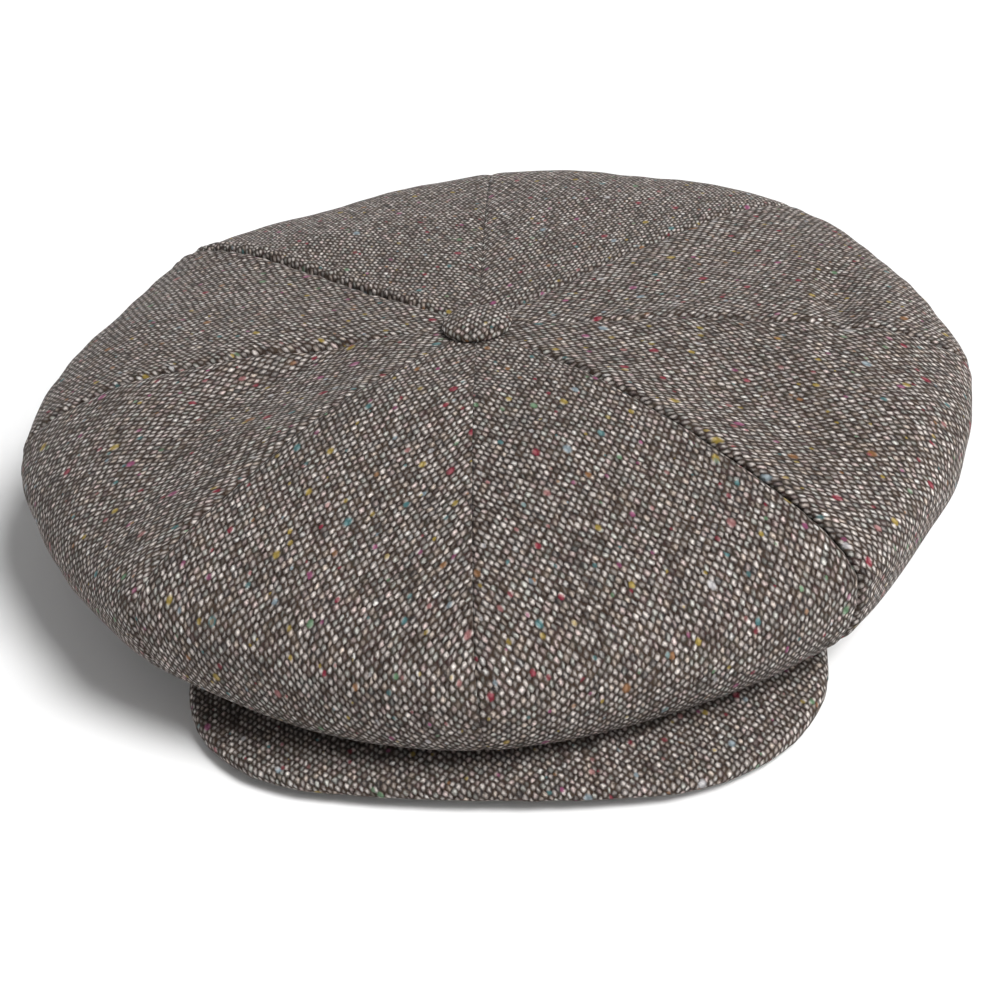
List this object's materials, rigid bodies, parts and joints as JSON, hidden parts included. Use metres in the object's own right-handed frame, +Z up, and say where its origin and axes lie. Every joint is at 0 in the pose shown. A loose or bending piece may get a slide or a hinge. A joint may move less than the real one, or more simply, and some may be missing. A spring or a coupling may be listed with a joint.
{
  "type": "newsboy cap",
  "caption": "Full round panelled tweed cap with a covered button at the top, a narrow head band and a short flat visor that flexes on its seam.",
  "frame": {"origin": "centre of the head opening, in the plane of the band's lower edge that the cap stands on", "axes": "+Z up out of the crown, -Y to the front edge of the visor, +X to the wearer's left"},
  "size_m": [0.3036, 0.3086, 0.0769],
  "materials": {
    "tweed": "matte wool, cream flecks on dark brown with sparse coloured specks",
    "lining_satin": "satin sheen",
    "sweatband_twill": "matte cotton twill",
    "stiffener_tape": "matte",
    "felt": "matte",
    "visor_polythene": "matte, moulded",
    "button_metal": "satin",
    "button_plate": "satin"
  },
  "bodies": {
    "cap": {"crown_panel_front_left": "tweed", "crown_panel_left_front": "tweed", "crown_panel_left_back": "tweed", "crown_panel_back_left": "tweed", "crown_panel_back_right": "tweed", "crown_panel_right_back": "tweed", "crown_panel_right_front": "tweed", "crown_panel_front_right": "tweed", "lining_panel_front_left": "lining_satin", "lining_panel_left_front": "lining_satin", "lining_panel_left_back": "lining_satin", "lining_panel_back_left": "lining_satin", "lining_panel_back_right": "lining_satin", "lining_panel_right_back": "lining_satin", "lining_panel_right_front": "lining_satin", "lining_panel_front_right": "lining_satin", "sweatband": "sweatband_twill", "band_stiffener": "stiffener_tape", "outer_band": "tweed", "button_cover": "tweed", "button_shell": "button_metal", "button_backplate": "button_plate", "crown_tip_patch": "felt", "button_tack": "button_metal"},
    "visor": {"visor_under_cover": "tweed", "visor_board": "visor_polythene", "visor_padding": "felt", "visor_top_cover": "tweed"}
  },
  "joints": [
    {"name": "visor_flex", "type": "hinge", "parent": "cap", "child": "visor", "pos_m": [0, -0.07, 0.005], "axis": [1, 0, 0], "range_deg": [0, 8], "stiffness_Nm_per_rad": 1.2}
  ]
}
